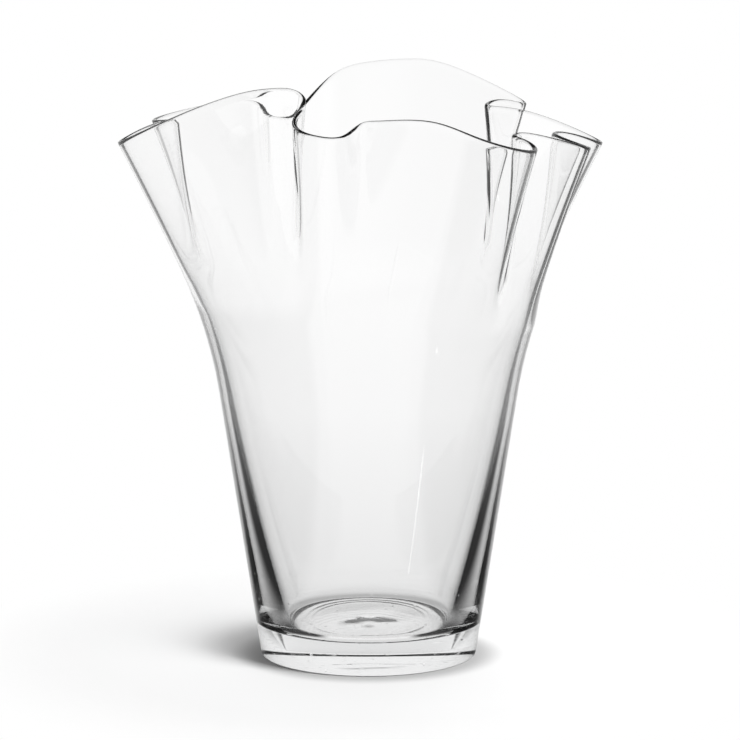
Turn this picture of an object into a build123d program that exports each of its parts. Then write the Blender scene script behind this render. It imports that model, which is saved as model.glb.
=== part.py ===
from build123d import *

import math
import os
from itertools import accumulate

# Clear blown-glass vase: a heavy solid base and a conical wall that flares into a hand-folded rim.
# The origin is the middle of the foot, on the table, with Z up and the front towards -Y.
# Sizes are in millimetres, and angles in degrees from +X towards +Y.

# Outside of the body: a straight cone, a bend, and a wider cone
FOOT_RADIUS = 49.2
KNEE_HEIGHT = 150.0
KNEE_RADIUS = 72.4
FLARE_HEIGHT = 240.0
FLARE_RADIUS = 112.4
BEND_HEIGHT = 56.0

# Base: solid glass with a rounded foot, a rounded heel inside, and a polished hollow underneath
FLOOR_THICKNESS = 14.0
SEAT_HEIGHT = 22.0
FOOT_ROUND = 1.5
HEEL_ROUND = 5.0
PONTIL_RADIUS = 15.0
PONTIL_DEPTH = 1.5

# Wall: thick above the floor, thinning steadily towards the rim
WALL_AT_FLOOR = 14.4
WALL_UPPER = 1.8
WALL_FADE = 80.0

# Rim: the middle of the glass, measured out from this radius and up from this height
RIM_RADIUS = 100.0
RIM_HEIGHT = 250.0

# Points of the rim, as azimuth, distance out and distance up, lobe by lobe
LEFT_PETAL = [(183.5, 12.3, -12.5), (200.0, 0.0, -1.5), (232.0, -11.5, 17.0), (241.8, -14.3, 19.5)]
LEFT_CURL = [(246.0, -19.0, 18.8), (249.4, -19.7, 15.5), (250.1, -6.0, 7.8), (252.3, -1.2, 3.8)]
FRONT_LIP = [(258.0, 0.5, 1.3), (263.4, -2.9, 1.3), (268.0, -11.8, 5.8)]
FRONT_PETAL = [(272.5, -8.4, 7.2), (285.0, 3.5, 8.0), (297.0, 7.0, 0.0), (315.5, 1.8, -8.0)]
RIGHT_FOLD = [(318.8, -7.0, -5.5), (319.0, -14.5, -3.7), (322.0, -16.8, -3.2), (325.5, -11.5, -3.7)]
RIGHT_LOBES = [(338.0, 5.3, -11.0), (354.5, -15.5, -9.0), (365.0, -7.0, -11.0), (375.0, 9.8, -17.0)]
BACK_FOLD = [(397.0, -10.2, -6.0), (406.8, -19.7, -4.0), (409.0, -5.5, -3.0), (408.8, 10.8, -5.7)]
BACK_PETAL = [(428.5, 11.0, 8.5), (440.0, 8.5, 12.0), (452.5, 5.0, 10.0), (459.5, 3.5, 5.0)]
BACK_CURL = [(472.0, -12.0, -9.0), (480.0, -19.0, -11.5), (484.0, -14.5, -10.5), (482.5, -3.5, -7.5)]
SIDE_LOBE = [(482.8, 4.0, -6.0), (489.0, 7.0, -5.5), (516.0, 8.3, -9.0)]
SIDE_FOLD = [(523.5, -9.0, -6.3), (532.5, -2.0, -7.0)]
FRONT_RIM = LEFT_PETAL + LEFT_CURL + FRONT_LIP + FRONT_PETAL + RIGHT_FOLD
BACK_RIM = RIGHT_LOBES + BACK_FOLD + BACK_PETAL + BACK_CURL + SIDE_LOBE + SIDE_FOLD

# Folds, as azimuth of the crease, how far it runs down from RIM_HEIGHT, and how far it leans round on the way
FOLDS = [
    (250.0, 84.0, 1.0),
    (319.0, 96.0, 4.0),
    (355.0, 98.0, 10.0),
    (408.0, 92.0, 0.0),
    (478.0, 100.0, 7.0),
    (520.0, 86.0, 0.0),
]
FOLD_ONSET = 0.12
FOLD_SPREAD = 0.5

# Fineness of the wall
RIM_STEPS = 160
BODY_RINGS = 8
FOLDED_RINGS = 8
LIP_ARCS = 4
EVENING_PASSES = 6

TURN = 2 * math.pi


def outer_radius(height):
    """Outside radius before folding: two straight slopes joined by a parabola."""
    lower = (KNEE_RADIUS - FOOT_RADIUS) / KNEE_HEIGHT
    upper = (FLARE_RADIUS - KNEE_RADIUS) / (FLARE_HEIGHT - KNEE_HEIGHT)
    above = height - (KNEE_HEIGHT - BEND_HEIGHT / 2)
    in_bend = min(max(above, 0), BEND_HEIGHT)
    bent = in_bend**2 / (2 * BEND_HEIGHT) + max(above - BEND_HEIGHT, 0)
    return FOOT_RADIUS + lower * height + (upper - lower) * bent


def wall_thickness(height):
    """Thickness of the wall."""
    above = height - FLOOR_THICKNESS
    return WALL_UPPER + (WALL_AT_FLOOR - WALL_UPPER) * math.exp(-above / WALL_FADE)


def middle_radius(height):
    """Radius half-way through the wall, before folding."""
    return outer_radius(height) - wall_thickness(height) / 2


def evened(values):
    """Values round a ring with their sharpest changes evened out."""
    for _ in range(EVENING_PASSES):
        following = values[1:] + values[:1]
        values = [(values[i - 1] + 2 * values[i] + following[i]) / 4 for i in range(len(values))]
    return values


def between_folds(azimuth, column):
    """A column of FOLDS at an azimuth in radians, running smoothly from each fold to the next."""
    first = math.radians(FOLDS[0][0])
    azimuth = (azimuth - first) % TURN + first
    creases = [math.radians(fold[0]) for fold in FOLDS] + [first + TURN]
    values = [fold[column] for fold in FOLDS] + [FOLDS[0][column]]
    last = max(i for i in range(len(FOLDS)) if creases[i] <= azimuth)
    share = (azimuth - creases[last]) / (creases[last + 1] - creases[last])
    return values[last] + (values[last + 1] - values[last]) * share**2 * (3 - 2 * share)


# The rim as one closed curve, and evenly spaced points along it
rim_corners = [
    Vector(RIM_RADIUS + out, 0, RIM_HEIGHT + up).rotate(Axis.Z, azimuth)
    for azimuth, out, up in FRONT_RIM + BACK_RIM
]
root_chords = [math.sqrt((b - a).length) for a, b in zip(rim_corners, rim_corners[1:] + rim_corners[:1])]
rim_curve = Edge.make_spline(rim_corners, periodic=True, parameters=[0, *accumulate(root_chords)])
rim_points = [rim_curve @ (i / RIM_STEPS) for i in range(RIM_STEPS)]

# Azimuth, on the round body below, of the glass that each rim point was drawn from
azimuths = [math.radians(LEFT_PETAL[0][0])]
for point in rim_points[1:]:
    turn = math.atan2(point.Y, point.X) - azimuths[-1]
    azimuths.append(azimuths[-1] + (turn + math.pi) % TURN - math.pi)
furthest = accumulate(azimuths, max)
nearest = reversed(list(accumulate(reversed(azimuths), min)))
even = [azimuths[0] + TURN * i / RIM_STEPS for i in range(RIM_STEPS)]
drift = evened([(1 - FOLD_SPREAD) * ((a + b) / 2 - c) for a, b, c in zip(furthest, nearest, even)])
drawn_from = [a + b for a, b in zip(even, drift)]
body_azimuths = [a + math.radians(between_folds(a, 2)) for a in drawn_from]
fold_starts = [RIM_HEIGHT - between_folds(a, 1) for a in drawn_from]
fold_base = min(fold_starts)

# How far folding moves the rim from the plain cone, and the same evened out for the lower folds
rim_shifts = [
    (p.X - middle_radius(p.Z) * math.cos(a), p.Y - middle_radius(p.Z) * math.sin(a))
    for p, a in zip(rim_points, body_azimuths)
]
soft_shifts = list(zip(*(evened(list(column)) for column in zip(*rim_shifts))))
lip_rises = [wall_thickness(point.Z) / 2 for point in rim_points]


def middle_point(i, height):
    """Point half-way through the wall, under rim point i."""
    share = min(max((height - fold_base) / (rim_points[i].Z - fold_base), 0), 1)
    grown = min(max((height - fold_starts[i]) / (rim_points[i].Z - fold_starts[i]), 0), 1)
    grown = grown**2 * (1 + FOLD_ONSET) / (grown + FOLD_ONSET)
    shift_x, shift_y = (a + share * (b - a) for a, b in zip(soft_shifts[i], rim_shifts[i]))
    radius = middle_radius(height)
    x = radius * math.cos(body_azimuths[i]) + grown * shift_x
    y = radius * math.sin(body_azimuths[i]) + grown * shift_y
    return Vector(x, y, height)


def ring(heights, side):
    """Closed curve beside the middle of the wall: outside it where side is 1, inside it where side is -1."""
    middle = [middle_point(i, height) for i, height in enumerate(heights)]
    points = []
    for before, here, after in zip(middle[-1:] + middle[:-1], middle, middle[1:] + middle[:1]):
        outward = (after - before).cross(Vector(0, 0, 1)).normalized()
        points.append(here + outward * (side * wall_thickness(here.Z) / 2))
    shares = [i / RIM_STEPS for i in range(RIM_STEPS + 1)]
    return Wire(Edge.make_spline(points, periodic=True, parameters=shares))


def body_heights(level):
    """Heights round one of the level rings of the body."""
    return [SEAT_HEIGHT + (fold_base - SEAT_HEIGHT) * level / BODY_RINGS] * RIM_STEPS


def folded_heights(level):
    """Heights round a ring of the folds, which rise and fall more and more like the rim."""
    share = level / FOLDED_RINGS
    return [fold_base + share * (p.Z - lip - fold_base) for p, lip in zip(rim_points, lip_rises)]


def lip_ring(arc):
    """Ring over the rounded lip, from the outside edge over the crest to the inside edge."""
    angle = math.pi * arc / LIP_ARCS
    heights = [p.Z - lip * (1 - math.sin(angle)) for p, lip in zip(rim_points, lip_rises)]
    return ring(heights, math.cos(angle))


def skin(side):
    """One skin of the wall, from its seat up to the lip."""
    levels = [body_heights(level) for level in range(BODY_RINGS)]
    levels += [folded_heights(level) for level in range(FOLDED_RINGS + 1)]
    return Shell.make_loft([ring(heights, side) for heights in levels])


# Base, turned about the axis
floor_radius = outer_radius(FLOOR_THICKNESS) - wall_thickness(FLOOR_THICKNESS)
seat_radius = outer_radius(SEAT_HEIGHT)
with BuildPart() as base:
    with BuildSketch(Plane.XZ) as base_section:
        with BuildLine() as base_outline:
            TangentArc((0, PONTIL_DEPTH), (PONTIL_RADIUS, 0), tangent=(1, 0))
            Polyline(
                (PONTIL_RADIUS, 0),
                (FOOT_RADIUS, 0),
                (seat_radius, SEAT_HEIGHT),
                (seat_radius - wall_thickness(SEAT_HEIGHT), SEAT_HEIGHT),
                (floor_radius, FLOOR_THICKNESS),
                (0, FLOOR_THICKNESS),
                (0, PONTIL_DEPTH),
            )
        make_face()
        fillet(base_section.vertices().sort_by_distance((FOOT_RADIUS, 0))[0], radius=FOOT_ROUND)
        fillet(base_section.vertices().sort_by_distance((floor_radius, FLOOR_THICKNESS))[0], radius=HEEL_ROUND)
    revolve(axis=Axis.Z)

# Folded wall, standing on the base: two skins, the lip between them and a flat seat
lip_skin = Shell.make_loft([lip_ring(arc) for arc in range(LIP_ARCS + 1)])
seat = Face(ring(body_heights(0), 1), [ring(body_heights(0), -1)])
wall_skins = [*skin(1).faces(), *lip_skin.faces(), *skin(-1).faces(), seat]
with BuildPart() as wall:
    add(Solid(Shell(wall_skins)))

base.part.label = "base"
wall.part.label = "wall"
os.makedirs("parts", exist_ok=True)
export_step(base.part, "parts/base.step")
export_step(wall.part, "parts/wall.step")
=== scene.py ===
import math

import bpy
import numpy as np
from bpy.props import FloatProperty, FloatVectorProperty, IntProperty, PointerProperty
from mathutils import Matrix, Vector


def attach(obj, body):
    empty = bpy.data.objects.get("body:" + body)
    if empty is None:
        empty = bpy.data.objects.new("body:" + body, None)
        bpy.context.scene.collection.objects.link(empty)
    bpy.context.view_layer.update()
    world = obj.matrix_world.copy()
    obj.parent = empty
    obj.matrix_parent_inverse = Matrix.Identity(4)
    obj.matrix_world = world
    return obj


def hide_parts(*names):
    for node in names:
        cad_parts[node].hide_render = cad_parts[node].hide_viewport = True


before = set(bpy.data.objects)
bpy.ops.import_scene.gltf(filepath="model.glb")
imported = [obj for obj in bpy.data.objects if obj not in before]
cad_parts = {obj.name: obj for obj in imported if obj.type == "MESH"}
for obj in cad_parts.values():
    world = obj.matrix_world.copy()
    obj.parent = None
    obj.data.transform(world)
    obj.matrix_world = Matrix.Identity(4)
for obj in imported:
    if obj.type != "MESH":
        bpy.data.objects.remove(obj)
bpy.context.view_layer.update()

bl_info = {
    "name": "Folded-rim vase",
    "version": (1, 0, 0),
    "blender": (4, 5, 0),
    "location": "View3D > Sidebar > Vase",
    "description": "A clear blown-glass vase with a hand-folded rim, on a white studio floor",
    "category": "Object",
}

MM = 0.001
TURN = 2 * np.pi
FINE_STEPS = 200
ARC_STEPS = 9
LIP_STEPS = 11
BODY_ROWS = 18
FOLDED_ROWS = 44
UNDER_ROWS = 18
FLOOR_WAVE = 0.2 * MM
TOOL_RING = 0.12 * MM
FLOOR_GAP = 0.3 * MM
DARK_SIDE_SLANT = 0.53
LAMPS_AIM = (0, 0, 0.13)

# The middle of the rim's glass, as azimuth in degrees, then distance out from the rim radius and up from the
# rim height in millimetres, lobe by lobe. Azimuths run from +X towards +Y, and the front is at 270.
LEFT_PETAL = [(183.5, 12.3, -12.5), (200.0, 0.0, -1.5), (232.0, -11.5, 17.0), (241.8, -14.3, 19.5)]
LEFT_CURL = [(246.0, -19.0, 18.8), (249.4, -19.7, 15.5), (250.1, -6.0, 7.8), (252.3, -1.2, 3.8)]
FRONT_LIP = [(258.0, 0.5, 1.3), (263.4, -2.9, 1.3), (268.0, -11.8, 5.8)]
FRONT_PETAL = [(272.5, -8.4, 7.2), (285.0, 3.5, 8.0), (297.0, 7.0, 0.0), (315.5, 1.8, -8.0)]
RIGHT_FOLD = [(318.8, -7.0, -5.5), (319.0, -14.5, -3.7), (322.0, -16.8, -3.2), (325.5, -11.5, -3.7)]
RIGHT_LOBES = [(338.0, 5.3, -11.0), (354.5, -15.5, -9.0), (365.0, -7.0, -11.0), (375.0, 9.8, -17.0)]
BACK_FOLD = [(397.0, -10.2, -6.0), (406.8, -19.7, -4.0), (409.0, -5.5, -3.0), (408.8, 10.8, -5.7)]
BACK_PETAL = [(428.5, 11.0, 8.5), (440.0, 8.5, 12.0), (452.5, 5.0, 10.0), (459.5, 3.5, 5.0)]
BACK_CURL = [(472.0, -12.0, -9.0), (480.0, -19.0, -11.5), (484.0, -14.5, -10.5), (482.5, -3.5, -7.5)]
SIDE_LOBE = [(482.8, 4.0, -6.0), (489.0, 7.0, -5.5), (516.0, 8.3, -9.0)]
SIDE_FOLD = [(523.5, -9.0, -6.3), (532.5, -2.0, -7.0)]
FRONT_RIM = LEFT_PETAL + LEFT_CURL + FRONT_LIP + FRONT_PETAL + RIGHT_FOLD
BACK_RIM = RIGHT_LOBES + BACK_FOLD + BACK_PETAL + BACK_CURL + SIDE_LOBE + SIDE_FOLD

# Folds, as azimuth of the crease in degrees, how far it runs down from the rim height in millimetres, and how
# far it leans round on the way in degrees
FOLDS = [
    (250.0, 84.0, 1.0),
    (319.0, 96.0, 4.0),
    (355.0, 98.0, 10.0),
    (408.0, 92.0, 0.0),
    (478.0, 100.0, 7.0),
    (520.0, 86.0, 0.0),
]

# How white the floor looks through the glass, by the distance from the vase's axis in metres: painted shade,
# darkest just outside the foot, with a painted bright ring under the heel and white far out
PAINTED_FLOOR_SHADE = [
    (0.0, 0.8),
    (0.036, 0.75),
    (0.04, 0.95),
    (0.046, 0.95),
    (0.05, 0.5),
    (0.054, 0.4),
    (0.058, 0.6),
    (0.064, 0.74),
    (0.086, 0.8),
    (0.11, 0.84),
    (0.23, 0.88),
    (0.48, 0.95),
    (1.0, 1.0),
]

# How much the floor is shaded close round the foot, by the same distance
FOOT_SHADE = [
    (0.0, 0.0),
    (0.0365, 0.0),
    (0.0395, 1.0),
    (0.054, 1.0),
    (0.062, 0.0),
    (1.0, 0.0),
]


def length(name, description, default):
    """A size of the vase, in metres."""
    return FloatProperty(name=name, description=description, default=default, unit="LENGTH", precision=4)


def power(name, description, default):
    """The power of a lamp, in watts."""
    return FloatProperty(name=name, description=description, default=default, subtype="POWER")


class VaseSizes(bpy.types.PropertyGroup):
    foot_radius: length("Foot radius", "Outside radius of the body at the table", 49.2 * MM)
    knee_height: length("Knee height", "Height at which the body bends outwards", 150.0 * MM)
    knee_radius: length("Knee radius", "Radius at which the two cones meet", 72.4 * MM)
    flare_height: length("Flare height", "Height at which the flare radius is measured", 240.0 * MM)
    flare_radius: length("Flare radius", "Outside radius of the flare before folding", 112.4 * MM)
    bend_height: length("Bend height", "Height over which the bend is spread", 56.0 * MM)
    floor_thickness: length("Floor thickness", "Glass under the inside floor", 14.0 * MM)
    foot_round: length("Foot round", "Radius of the rounded edge of the foot", 1.0 * MM)
    heel_round: length("Heel round", "Radius of the rounded corner between floor and wall", 7.0 * MM)
    pontil_radius: length("Pontil radius", "Radius of the polished hollow under the foot", 15.0 * MM)
    pontil_depth: length("Pontil depth", "Depth of the polished hollow under the foot", 0.5 * MM)
    wall_at_floor: length("Wall at floor", "Thickness of the wall where it meets the floor", 13.4 * MM)
    wall_upper: length("Upper wall", "Thickness that the wall thins down towards", 1.8 * MM)
    wall_fade: length("Wall fade", "Height over which the wall thins by a factor of e", 80.0 * MM)
    rim_radius: length("Rim radius", "Radius that the rim points are measured from", 100.0 * MM)
    rim_height: length("Rim height", "Height that the rim points are measured from", 250.0 * MM)
    fold_reach: length("Fold reach", "Length of rim over which the lower folds are evened out", 8.9 * MM)
    fold_onset: FloatProperty(name="Fold onset", description="How gently a fold starts", default=0.12)
    fold_spread: FloatProperty(
        name="Fold spread",
        description="How evenly the folds draw glass from the body",
        default=0.5,
        subtype="FACTOR",
    )
    rim_steps: IntProperty(
        name="Rim steps", description="Points round each ring of the mesh", default=520, min=64
    )


class GlassLook(bpy.types.PropertyGroup):
    refraction: FloatProperty(name="Refraction", description="Index of refraction of the glass", default=1.5)
    tint: FloatVectorProperty(
        name="Tint",
        description="What thick glass lets through",
        default=(0.5, 0.52, 0.53),
        subtype="COLOR",
        size=3,
    )
    tint_density: FloatProperty(
        name="Tint density", description="Strength of the tint per metre", default=2.2
    )
    wave_depth: length("Wave depth", "Depth of the slow waves left by blowing", 0.05 * MM)
    pit_depth: length("Pit depth", "Depth of the small pits low on the body", 0.15 * MM)
    wear_height: length("Wear height", "Height up to which the glass is pitted and scratched", 40.0 * MM)
    wear: FloatProperty(name="Wear", description="Roughness of the scratches", default=0.2, subtype="FACTOR")


class StageLook(bpy.types.PropertyGroup):
    floor_size: length("Floor size", "Side of the white floor", 8.0)
    floor_white: FloatProperty(
        name="Floor white", description="Lightness of the floor", default=0.9, subtype="FACTOR"
    )
    camera_distance: length("Camera distance", "From the camera to the vase, along the floor", 2.2)
    camera_height: length("Camera height", "Height of the camera above the floor", 0.52)
    camera_side: length("Camera side", "How far the camera stands to the right of the vase's axis", 0.64 * MM)
    aim_height: length("Aim height", "Height on the axis that the camera looks at", 131.5 * MM)
    lens: FloatProperty(
        name="Lens", description="Focal length on a 36 mm sensor, in millimetres", default=238.6
    )
    key_power: power("Key power", "Power of the softbox at the right", 213.0)
    top_power: power("Top power", "Power of the softbox overhead", 4.5)
    strip_power: power("Strip power", "Power of the small lamp at the left that the glass mirrors", 0.022)


def outer_radius(sizes, height):
    """Outside radius before folding: a straight slope, a parabola over the bend, and a steeper slope."""
    lower = (sizes.knee_radius - sizes.foot_radius) / sizes.knee_height
    upper = (sizes.flare_radius - sizes.knee_radius) / (sizes.flare_height - sizes.knee_height)
    above = height - (sizes.knee_height - sizes.bend_height / 2)
    bent = np.clip(above, 0, sizes.bend_height) ** 2 / (2 * sizes.bend_height)
    bent = bent + np.maximum(above - sizes.bend_height, 0)
    return sizes.foot_radius + lower * height + (upper - lower) * bent


def wall_thickness(sizes, height):
    """The upper wall plus the heavy lower wall, which fades by a factor of e every wall_fade."""
    fade = np.exp(-(height - sizes.floor_thickness) / sizes.wall_fade)
    return sizes.wall_upper + (sizes.wall_at_floor - sizes.wall_upper) * fade


def middle_radius(sizes, height):
    """Outside radius less half the wall."""
    return outer_radius(sizes, height) - wall_thickness(sizes, height) / 2


def closed_spline(points, count):
    """Periodic cubic spline through the points, at evenly spaced places, and the distance between these.

    The root of each chord is the spline's step. The slopes at the points make the second derivative
    continuous, and each span is a cubic Hermite curve.
    """
    step = np.sqrt(np.linalg.norm(np.roll(points, -1, axis=0) - points, axis=1))
    before = np.roll(step, 1)
    chord = (np.roll(points, -1, axis=0) - points) / step[:, None]
    one = np.eye(len(points))
    system = 2 * (before + step)[:, None] * one
    system += step[:, None] * np.roll(one, -1, axis=1) + before[:, None] * np.roll(one, 1, axis=1)
    wanted = 3 * (step[:, None] * np.roll(chord, 1, axis=0) + before[:, None] * chord)
    slopes = np.linalg.solve(system, wanted)
    share = np.linspace(0, 1, FINE_STEPS, endpoint=False)[None, :, None]
    start, end = points[:, None], np.roll(points, -1, axis=0)[:, None]
    leave = (slopes * step[:, None])[:, None]
    reach = (np.roll(slopes, -1, axis=0) * step[:, None])[:, None]
    rise = share**2 * (3 - 2 * share)
    fine = start + (end - start) * rise + leave * share * (1 - share) ** 2 - reach * share**2 * (1 - share)
    fine = np.vstack([fine.reshape(-1, 3), points[:1]])
    run = np.concatenate([[0], np.cumsum(np.linalg.norm(np.diff(fine, axis=0), axis=1))])
    even = np.linspace(0, run[-1], count, endpoint=False)
    return np.stack([np.interp(even, run, column) for column in fine.T], axis=1), run[-1] / count


def softened(values, reach, step):
    """Values round a ring, convolved with a bell curve whose standard deviation is reach."""
    waves = np.fft.rfftfreq(len(values), step)
    bell = np.exp(-2 * (np.pi * waves * reach) ** 2)
    bell = bell.reshape(-1, *[1] * (values.ndim - 1))
    return np.fft.irfft(np.fft.rfft(values, axis=0) * bell, len(values), axis=0)


def between_folds(azimuth, column):
    """A column of FOLDS at each azimuth, passing from each crease to the next by 3 s^2 - 2 s^3."""
    table = np.array(FOLDS)
    creases = np.radians(np.append(table[:, 0], table[0, 0] + 360))
    values = np.append(table[:, column], table[0, column])
    azimuth = (azimuth - creases[0]) % TURN + creases[0]
    last = np.searchsorted(creases, azimuth, side="right") - 1
    share = (azimuth - creases[last]) / (creases[last + 1] - creases[last])
    return values[last] + (values[last + 1] - values[last]) * share**2 * (3 - 2 * share)


class FoldedWall:
    """The middle of the wall: every rim point is joined to the place on the body that it was drawn from.

    At a height below its fold's start a point lies on the plain cone. Above, it moves by a growing share
    of the way that folding moved its rim point, and the lower it is, the more that move is evened out.
    """

    def __init__(self, sizes):
        self.sizes = sizes
        azimuth, out, up = np.array(FRONT_RIM + BACK_RIM).T
        azimuth, radius = np.radians(azimuth), sizes.rim_radius + out * MM
        height = sizes.rim_height + up * MM
        corners = np.stack([radius * np.cos(azimuth), radius * np.sin(azimuth), height], axis=1)
        self.rim, step = closed_spline(corners, sizes.rim_steps)
        turned = np.unwrap(np.arctan2(self.rim[:, 1], self.rim[:, 0]))
        furthest = np.maximum.accumulate(turned)
        nearest = np.minimum.accumulate(turned[::-1])[::-1]
        even = turned[0] + TURN * np.arange(sizes.rim_steps) / sizes.rim_steps
        drift = softened((1 - sizes.fold_spread) * ((furthest + nearest) / 2 - even), sizes.fold_reach, step)
        self.body_azimuth = even + drift + np.radians(between_folds(even + drift, 2))
        self.fold_start = sizes.rim_height - between_folds(even + drift, 1) * MM
        self.fold_base = self.fold_start.min()
        self.around = np.stack([np.cos(self.body_azimuth), np.sin(self.body_azimuth)], axis=1)
        self.shift = self.rim[:, :2] - middle_radius(sizes, self.rim[:, 2])[:, None] * self.around
        self.soft_shift = softened(self.shift, sizes.fold_reach, step)
        self.lip = wall_thickness(sizes, self.rim[:, 2]) / 2

    def ring(self, height, side):
        """Rings of the wall at rows of heights: side 1 is the outside, -1 the inside, and 0 the middle."""
        top = self.rim[:, 2]
        share = np.clip((height - self.fold_base) / (top - self.fold_base), 0, 1)
        grown = np.clip((height - self.fold_start) / (top - self.fold_start), 0, 1)
        grown = grown**2 * (1 + self.sizes.fold_onset) / (grown + self.sizes.fold_onset)
        shift = self.soft_shift + share[..., None] * (self.shift - self.soft_shift)
        middle = middle_radius(self.sizes, height)[..., None] * self.around + grown[..., None] * shift
        along = np.roll(middle, -1, axis=-2) - np.roll(middle, 1, axis=-2)
        outward = np.stack([along[..., 1], -along[..., 0]], axis=-1)
        outward /= np.linalg.norm(outward, axis=-1, keepdims=True)
        half = np.asarray(side) * wall_thickness(self.sizes, height) / 2
        return np.concatenate([middle + outward * half[..., None], height[..., None]], axis=-1)

    def level(self, radius, height):
        """Round, level rings from arrays of radii and heights, under the rim points' places on the body."""
        flat = radius[:, None, None] * self.around
        return np.concatenate([flat, np.broadcast_to(height[:, None, None], flat.shape[:2] + (1,))], axis=2)


def vase_rings(sizes):
    """The vase's whole skin as rings: along the floor, up the inside, over the lip, down and under.

    Heel and foot are arcs tangent to their two neighbours. The hollow underneath rises by 3 s^2 - 2 s^3
    from its uneven edge to a flat middle half its width.
    """
    wall = FoldedWall(sizes)
    floor = sizes.floor_thickness
    floor_radius = outer_radius(sizes, floor) - wall_thickness(sizes, floor)
    lean_in = math.atan(wall_slope(sizes, floor, 1.0))
    heel_middle = floor_radius - sizes.heel_round * math.tan(math.pi / 4 - lean_in / 2)
    heel_turn = np.linspace(-math.pi / 2, -lean_in, ARC_STEPS)
    heel = wall.level(
        heel_middle + sizes.heel_round * np.cos(heel_turn), floor + sizes.heel_round * (1 + np.sin(heel_turn))
    )
    inner = np.linspace(0, 0.72, 8, endpoint=False)[1:]
    out = np.concatenate([inner, np.linspace(0.72, 1, 14, endpoint=False)])
    flat_floor = wall.level(heel_middle * out, np.full(len(out), floor))
    waves = ripple(*np.moveaxis(flat_floor[..., :2], -1, 0) / MM)
    flat_floor[..., 2] += FLOOR_WAVE * ((1 - out**2)[:, None] * waves)
    flat_floor[..., 2] += TOOL_RING * tool_ring(out)[:, None]
    heel_top = floor + sizes.heel_round * (1 - math.sin(lean_in))

    lean_out = math.atan(wall_slope(sizes, 0.0, 0.0))
    foot_middle = sizes.foot_radius - sizes.foot_round * math.tan(math.pi / 4 - lean_out / 2)
    foot_turn = np.linspace(-lean_out, -math.pi / 2, ARC_STEPS)
    foot = wall.level(
        foot_middle + sizes.foot_round * np.cos(foot_turn), sizes.foot_round * (1 + np.sin(foot_turn))
    )
    foot_top = sizes.foot_round * (1 - math.sin(lean_out))

    steps = np.ones(sizes.rim_steps)
    low = np.linspace(0, 1, BODY_ROWS, endpoint=False)[1:, None] * steps
    folded = np.linspace(0, 1, FOLDED_ROWS, endpoint=False)[:, None]
    top = wall.rim[:, 2] - wall.lip
    upper = wall.fold_base + folded * (top - wall.fold_base)
    inside = [heel_top + low * (wall.fold_base - heel_top), upper]
    outside = [foot_top + low * (wall.fold_base - foot_top), upper]
    over = np.linspace(math.pi, 0, LIP_STEPS)[:, None] * steps
    lip = wall.ring(wall.rim[:, 2] - wall.lip * (1 - np.sin(over)), np.cos(over))

    under = wall.level(foot_middle * np.linspace(1, 0, UNDER_ROWS)[1:-1], np.zeros(UNDER_ROWS - 2))
    edge = sizes.pontil_radius * uneven_edge(wall.body_azimuth)
    reach = np.hypot(under[..., 0], under[..., 1]) / edge
    rise = np.clip(2 * (1 - reach), 0, 1)
    under[..., 2] = sizes.pontil_depth * rise**2 * (3 - 2 * rise)
    return np.concatenate(
        [
            flat_floor,
            heel,
            wall.ring(np.vstack(inside), -1),
            lip,
            wall.ring(np.vstack(outside)[::-1], 1),
            foot,
            under,
        ]
    )


def ripple(x, y):
    """Slow waves left in the floor by blowing: the mean of three crossing sines of places in millimetres."""
    first = np.sin(0.21 * x + 0.11 * y + 0.4)
    second = np.sin(0.27 * y - 0.09 * x)
    third = np.sin(0.16 * x - 0.24 * y + 1.3)
    return (first + second + third) / 3


def tool_ring(out):
    """Shallow rings pressed into the floor's edge: a wave in a smooth window from 0.74 to 1 of its radius."""
    window = np.sin(np.pi * np.clip((out - 0.74) / 0.26, 0, 1)) ** 2
    return window * np.cos(TURN * (out - 0.74) / 0.1)


def uneven_edge(azimuth):
    """How far the hand-ground hollow reaches, as a share of its radius: three waves of the azimuth."""
    return 1 + 0.16 * np.sin(2 * azimuth + 0.6) + 0.1 * np.sin(3 * azimuth + 2.0) + 0.06 * np.sin(5 * azimuth)


def wall_slope(sizes, height, inside):
    """How far the outside (inside is 0) or the inside (inside is 1) leans out per metre of height."""
    step = 1 * MM
    high, low = height + step, height
    outer = outer_radius(sizes, high) - outer_radius(sizes, low)
    return (outer - inside * (wall_thickness(sizes, high) - wall_thickness(sizes, low))) / step


def skin_mesh(name, rings, first, last):
    """A closed mesh through rings, with a point at each end, its faces outwards and shaded smooth."""
    rows, steps = rings.shape[:2]
    points = np.vstack([first[None], rings.reshape(-1, 3), last[None]])
    index = 1 + np.arange(rows * steps).reshape(rows, steps)
    beside = np.roll(index, -1, axis=1)
    quads = np.stack([index[:-1], index[1:], beside[1:], beside[:-1]], axis=-1).reshape(-1, 4)
    start = np.stack([np.zeros(steps, int), index[0], beside[0]], axis=-1)
    end = np.stack([index[-1], np.full(steps, len(points) - 1), beside[-1]], axis=-1)
    mesh = bpy.data.meshes.new(name)
    mesh.from_pydata(points.tolist(), [], start.tolist() + quads.tolist() + end.tolist())
    mesh.polygons.foreach_set("use_smooth", np.ones(len(mesh.polygons), bool))
    mesh.update()
    return mesh


def add_piece(mesh, material, *nodes):
    """Links a piece of the vase, which rides with the glass and stands for the named nodes."""
    mesh.materials.append(material)
    piece = bpy.data.objects.new(mesh.name, mesh)
    bpy.context.scene.collection.objects.link(piece)
    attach(piece, "root")
    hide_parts(*nodes)


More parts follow.
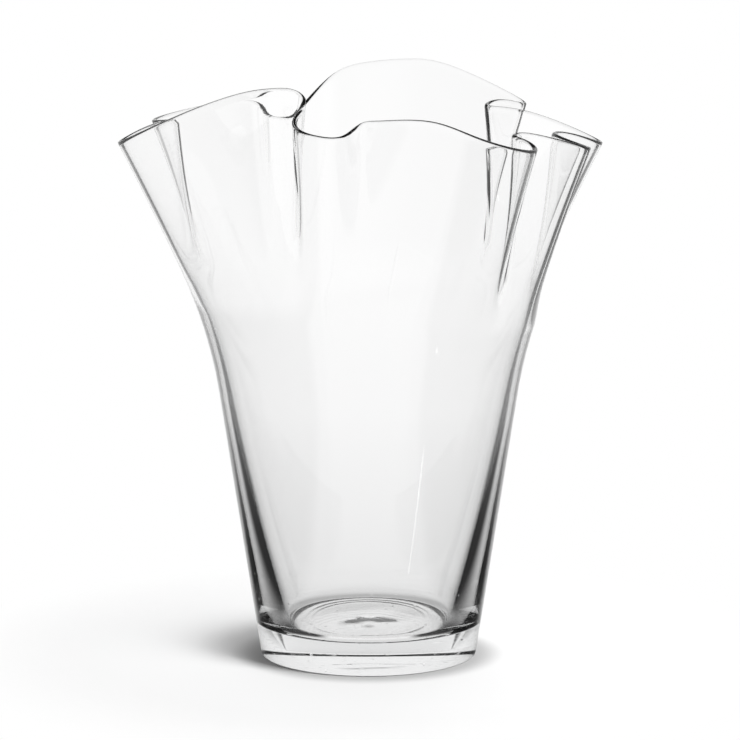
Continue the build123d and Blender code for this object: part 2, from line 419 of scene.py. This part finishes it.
def clear_glass(look):
    """Clear, fire-polished glass: its tint deepens with thickness, and lamps shine through it."""
    material = bpy.data.materials.new("clear_glass")
    material.use_nodes = True
    tree = material.node_tree
    nodes, links = tree.nodes, tree.links
    nodes.clear()
    output = nodes.new("ShaderNodeOutputMaterial")
    glass = nodes.new("ShaderNodeBsdfPrincipled")
    glass.inputs["Base Color"].default_value = (1, 1, 1, 1)
    glass.inputs["IOR"].default_value = look.refraction
    glass.inputs["Transmission Weight"].default_value = 1.0
    through = nodes.new("ShaderNodeBsdfTransparent")
    place = nodes.new("ShaderNodeTexCoord")
    split = nodes.new("ShaderNodeSeparateXYZ")
    links.new(place.outputs["Object"], split.inputs["Vector"])
    thick = ramp_node(tree, split.outputs["Z"], 3 * MM, 27 * MM, 0.1, 0.999)
    links.new(thick, through.inputs["Color"])
    worn = ramp_node(tree, split.outputs["Z"], 0.4 * look.wear_height, look.wear_height, 1.0, 0.0)
    scratch = scratches(tree, place.outputs["Object"])
    scratch = math_node(tree, "MULTIPLY", scratch, worn)
    links.new(math_node(tree, "MULTIPLY", scratch, look.wear), glass.inputs["Roughness"])
    waves = nodes.new("ShaderNodeTexNoise")
    waves.inputs["Scale"].default_value = 24.0
    waves.inputs["Detail"].default_value = 1.0
    links.new(place.outputs["Object"], waves.inputs["Vector"])
    waved = bump_node(tree, waves.outputs["Fac"], look.wave_depth)
    pits = nodes.new("ShaderNodeTexVoronoi")
    pits.inputs["Scale"].default_value = 130.0
    links.new(place.outputs["Object"], pits.inputs["Vector"])
    pit = ramp_node(tree, pits.outputs["Distance"], 0.04, 0.1, 0.0, 1.0)
    pit = choose_node(tree, worn, 1.0, pit)
    links.new(bump_node(tree, pit, look.pit_depth, waved), glass.inputs["Normal"])
    path = nodes.new("ShaderNodeLightPath")
    mix = nodes.new("ShaderNodeMixShader")
    links.new(path.outputs["Is Shadow Ray"], mix.inputs["Fac"])
    links.new(glass.outputs["BSDF"], mix.inputs[1])
    links.new(through.outputs["BSDF"], mix.inputs[2])
    links.new(mix.outputs["Shader"], output.inputs["Surface"])
    tint = nodes.new("ShaderNodeVolumeAbsorption")
    tint.inputs["Color"].default_value = (*look.tint, 1)
    tint.inputs["Density"].default_value = look.tint_density
    links.new(tint.outputs["Volume"], output.inputs["Volume"])
    return material


def scratches(tree, place):
    """Where the glass is scratched: thin lines where two slow noises, stretched two ways, pass one half."""
    lines = []
    for turn in (0.5, -0.9):
        lay = tree.nodes.new("ShaderNodeMapping")
        lay.inputs["Rotation"].default_value = (turn, turn, 0)
        lay.inputs["Scale"].default_value = (1.0, 1.0, 6.0)
        tree.links.new(place, lay.inputs["Vector"])
        noise = tree.nodes.new("ShaderNodeTexNoise")
        noise.inputs["Scale"].default_value = 45.0
        noise.inputs["Detail"].default_value = 2.0
        tree.links.new(lay.outputs["Vector"], noise.inputs["Vector"])
        off = math_node(tree, "ABSOLUTE", math_node(tree, "SUBTRACT", noise.outputs["Fac"], 0.5))
        lines.append(ramp_node(tree, off, 0.002, 0.006, 1.0, 0.0))
    return math_node(tree, "MAXIMUM", *lines)


def bump_node(tree, height, depth, normal=None):
    """A Bump node over a height from 0 to 1, as deep as depth, on top of another one."""
    node = tree.nodes.new("ShaderNodeBump")
    node.inputs["Distance"].default_value = depth
    tree.links.new(height, node.inputs["Height"])
    if normal:
        tree.links.new(normal, node.inputs["Normal"])
    return node.outputs["Normal"]


class VASE_OT_glass(bpy.types.Operator):
    """Blow the vase: base, wall and folded rim as one closed skin of glass"""

    bl_idname = "vase.glass"
    bl_label = "Vase"

    def execute(self, context):
        sizes = context.scene.vase_sizes
        first = np.array([0, 0, sizes.floor_thickness])
        last = np.array([0, 0, sizes.pontil_depth])
        mesh = skin_mesh("vase", vase_rings(sizes), first, last)
        add_piece(mesh, clear_glass(context.scene.vase_glass), "base", "wall")
        return {"FINISHED"}


class VASE_OT_stage(bpy.types.Operator):
    """Set the white floor, the soft lamps, the studio round them and the camera"""

    bl_idname = "vase.stage"
    bl_label = "Stage"

    def execute(self, context):
        look = context.scene.vase_stage
        lay_floor(look)
        hang_lamps(look)
        paint_studio(context.scene)
        place_camera(context.scene, look)
        context.scene.view_settings.view_transform = "Standard"
        return {"FINISHED"}


def math_node(tree, operation, first, second=None):
    """A Math node whose inputs are sockets or numbers."""
    node = tree.nodes.new("ShaderNodeMath")
    node.operation = operation
    for socket, value in zip(node.inputs, (first, second)):
        if isinstance(value, bpy.types.NodeSocket):
            tree.links.new(value, socket)
        elif value is not None:
            socket.default_value = value
    return node.outputs["Value"]


def ramp_node(tree, value, low, high, at_low, at_high):
    """A smooth step of a socket's value, from at_low where it is low to at_high where it is high."""
    node = tree.nodes.new("ShaderNodeMapRange")
    node.interpolation_type = "SMOOTHSTEP"
    tree.links.new(value, node.inputs["Value"])
    for name, number in (("From Min", low), ("From Max", high), ("To Min", at_low), ("To Max", at_high)):
        node.inputs[name].default_value = number
    return node.outputs["Result"]


def fade_node(tree, value, stops):
    """A curve of straight lines through stops of value and strength, with values from 0 to 1."""
    node = tree.nodes.new("ShaderNodeValToRGB")
    tree.links.new(value, node.inputs["Fac"])
    for place, strength in stops:
        stop = node.color_ramp.elements.new(place)
        stop.color = (strength, strength, strength, 1)
    return node.outputs["Color"]


def choose_node(tree, choice, no, yes):
    """yes where the choice socket is 1, and no where it is 0."""
    node = tree.nodes.new("ShaderNodeMix")
    tree.links.new(choice, node.inputs["Factor"])
    for socket, value in ((node.inputs["A"], no), (node.inputs["B"], yes)):
        if isinstance(value, bpy.types.NodeSocket):
            tree.links.new(value, socket)
        else:
            socket.default_value = value
    return node.outputs["Result"]


def lay_floor(look):
    """A white floor that takes the vase's shadow and turns into plain white further out.

    Light that came through the glass finds painted shade on it: white before and behind the vase, dark to
    both sides, darkest just outside the foot, with a painted bright ring under the heel. A painted contact
    shadow also darkens the floor's own colour close round the foot.
    """
    half = look.floor_size / 2
    corners = [(x, y, -FLOOR_GAP) for x, y in ((-half, -half), (half, -half), (half, half), (-half, half))]
    mesh = bpy.data.meshes.new("floor")
    mesh.from_pydata(corners, [], [(0, 1, 2, 3)])
    floor = bpy.data.objects.new("floor", mesh)
    bpy.context.scene.collection.objects.link(floor)
    material = bpy.data.materials.new("white_floor")
    material.use_nodes = True
    tree = material.node_tree
    tree.nodes.clear()
    output = tree.nodes.new("ShaderNodeOutputMaterial")
    matt = tree.nodes.new("ShaderNodeBsdfDiffuse")
    white = tree.nodes.new("ShaderNodeEmission")
    place = tree.nodes.new("ShaderNodeTexCoord")
    distance = tree.nodes.new("ShaderNodeVectorMath")
    distance.operation = "LENGTH"
    tree.links.new(place.outputs["Object"], distance.inputs[0])
    away = distance.outputs["Value"]
    # Painted contact shadow: the floor's own colour is darkened to 0.6 of its white within 50 to 64 mm of the
    # axis
    painted_contact_shadow = ramp_node(tree, away, 50 * MM, 64 * MM, 0.6 * look.floor_white, look.floor_white)
    tree.links.new(painted_contact_shadow, matt.inputs["Color"])
    split = tree.nodes.new("ShaderNodeSeparateXYZ")
    tree.links.new(place.outputs["Object"], split.inputs["Vector"])
    across, deep = math_node(tree, "ABSOLUTE", split.outputs["X"]), split.outputs["Y"]
    depth = math_node(tree, "MULTIPLY", math_node(tree, "ABSOLUTE", deep), DARK_SIDE_SLANT)
    aside = math_node(tree, "SUBTRACT", across, depth)
    # Painted shade for the glass: the floor dark to both sides of the vase, white before and behind it
    lit = ramp_node(tree, aside, 34 * MM, 78 * MM, 1.0, 0.03)
    lit = math_node(tree, "MAXIMUM", lit, ramp_node(tree, away, 0.4, 1.0, 0.0, 0.9))
    # Painted shadow under the front of the foot, seen through the glass
    front = ramp_node(tree, deep, -15 * MM, 10 * MM, 1.0, 0.0)
    under = math_node(tree, "MULTIPLY", front, fade_node(tree, away, FOOT_SHADE))
    lit = choose_node(tree, under, lit, ramp_node(tree, aside, 2 * MM, 14 * MM, 1.0, 0.02))
    # Painted shade by the distance from the axis, as the glass sees the floor
    through = math_node(tree, "MULTIPLY", lit, fade_node(tree, away, PAINTED_FLOOR_SHADE))
    mirrored = math_node(tree, "MAXIMUM", through, ramp_node(tree, away, 0.15, 0.5, 0.1, 0.95))
    path = tree.nodes.new("ShaderNodeLightPath")
    in_glass = choose_node(tree, path.outputs["Is Transmission Ray"], mirrored, through)
    tree.links.new(choose_node(tree, path.outputs["Is Camera Ray"], in_glass, 1.0), white.inputs["Strength"])
    far = ramp_node(tree, away, 0.12, 0.2, 0.0, 1.0)
    bare = math_node(tree, "MULTIPLY", far, path.outputs["Is Camera Ray"])
    mix = tree.nodes.new("ShaderNodeMixShader")
    tree.links.new(math_node(tree, "MAXIMUM", bare, path.outputs["Is Glossy Ray"]), mix.inputs["Fac"])
    tree.links.new(matt.outputs["BSDF"], mix.inputs[1])
    tree.links.new(white.outputs["Emission"], mix.inputs[2])
    tree.links.new(mix.outputs["Shader"], output.inputs["Surface"])
    mesh.materials.append(material)


def hang_lamp(name, place, aim, size, power, mirrored=False):
    """A rectangular softbox that faces a point, and that the glass mirrors or doesn't."""
    lamp = bpy.data.lights.new(name, "AREA")
    lamp.shape = "RECTANGLE"
    lamp.size, lamp.size_y = size
    lamp.energy = power
    holder = bpy.data.objects.new(name, lamp)
    holder.location = place
    holder.rotation_euler = (Vector(aim) - Vector(place)).to_track_quat("-Z", "Y").to_euler()
    holder.visible_glossy = mirrored
    holder.visible_transmission = mirrored
    bpy.context.scene.collection.objects.link(holder)


def hang_lamps(look):
    """A softbox far out at the right, one overhead, and a small lamp at the left that the glass mirrors."""
    hang_lamp("key_softbox", (2.4, -1.8, 1.5), LAMPS_AIM, (1.5, 1.5), look.key_power)
    hang_lamp("top_softbox", (0.0, 0.8, 0.9), LAMPS_AIM, (1.2, 1.2), look.top_power)
    hang_lamp("strip_softbox", (-1.27, -0.8, 0.272), LAMPS_AIM, (0.04, 0.04), look.strip_power, mirrored=True)


def paint_studio(scene):
    """The studio round the vase: white behind and in front, dark to the sides for light from the glass."""
    world = bpy.data.worlds.new("studio")
    world.use_nodes = True
    tree = world.node_tree
    tree.nodes.clear()
    output = tree.nodes.new("ShaderNodeOutputWorld")
    light = tree.nodes.new("ShaderNodeBackground")
    light.inputs["Color"].default_value = (1, 1, 1, 1)
    tree.links.new(light.outputs["Background"], output.inputs["Surface"])
    place = tree.nodes.new("ShaderNodeTexCoord")
    split = tree.nodes.new("ShaderNodeSeparateXYZ")
    tree.links.new(place.outputs["Generated"], split.inputs["Vector"])
    path = tree.nodes.new("ShaderNodeLightPath")
    across, deep, up = split.outputs["X"], split.outputs["Y"], split.outputs["Z"]
    flat = math_node(tree, "SQRT", math_node(tree, "SUBTRACT", 1.0, math_node(tree, "MULTIPLY", up, up)))
    facing = math_node(tree, "DIVIDE", deep, flat)
    wider = ramp_node(tree, up, -0.22, 0.05, 0.0, 0.3)
    wider = math_node(tree, "ADD", wider, ramp_node(tree, up, -0.02, 0.05, 0.0, 0.4))
    aside = math_node(tree, "SUBTRACT", math_node(tree, "ABSOLUTE", across), wider)
    behind = ramp_node(tree, aside, 0.2, 0.58, 1.0, 0.03)
    before = ramp_node(tree, facing, 0.25, 0.72, 0.9, 0.0)
    ceiling = ramp_node(tree, up, 0.3, 0.65, 1.0, 0.1)
    through = math_node(tree, "MULTIPLY", math_node(tree, "MAXIMUM", behind, before), ceiling)
    mirrored = math_node(tree, "MAXIMUM", through, ramp_node(tree, up, -0.45, -0.15, 0.65, 0.15))
    studio = choose_node(tree, path.outputs["Is Transmission Ray"], mirrored, through)
    unseen = choose_node(tree, path.outputs["Is Diffuse Ray"], studio, 0.1)
    strength = choose_node(tree, path.outputs["Is Camera Ray"], unseen, 1.0)
    tree.links.new(strength, light.inputs["Strength"])
    scene.world = world


def place_camera(scene, look):
    """A long lens in front of the vase and a little above it."""
    camera = bpy.data.cameras.new("camera")
    camera.sensor_width = 36
    camera.lens = look.lens
    holder = bpy.data.objects.new("camera", camera)
    holder.location = (look.camera_side, -look.camera_distance, look.camera_height)
    aim = Vector((look.camera_side, 0, look.aim_height))
    holder.rotation_euler = (aim - holder.location).to_track_quat("-Z", "Y").to_euler()
    scene.collection.objects.link(holder)
    scene.camera = holder


class VASE_PT_panel(bpy.types.Panel):
    """Sizes, glass and stage of the vase"""

    bl_idname = "VASE_PT_panel"
    bl_label = "Folded-rim vase"
    bl_space_type = "VIEW_3D"
    bl_region_type = "UI"
    bl_category = "Vase"

    def draw(self, context):
        for group in (context.scene.vase_sizes, context.scene.vase_glass, context.scene.vase_stage):
            box = self.layout.box()
            for name in group.__annotations__:
                box.prop(group, name)
        for operator in OPERATORS:
            self.layout.operator(operator.bl_idname)


OPERATORS = (VASE_OT_glass, VASE_OT_stage)
CLASSES = (VaseSizes, GlassLook, StageLook, *OPERATORS, VASE_PT_panel)


def register():
    for cls in CLASSES:
        bpy.utils.register_class(cls)
    bpy.types.Scene.vase_sizes = PointerProperty(type=VaseSizes)
    bpy.types.Scene.vase_glass = PointerProperty(type=GlassLook)
    bpy.types.Scene.vase_stage = PointerProperty(type=StageLook)


def unregister():
    del bpy.types.Scene.vase_sizes, bpy.types.Scene.vase_glass, bpy.types.Scene.vase_stage
    for cls in reversed(CLASSES):
        bpy.utils.unregister_class(cls)


def main():
    register()
    bpy.ops.vase.glass()
    bpy.ops.vase.stage()


if __name__ == "__main__":
    main()
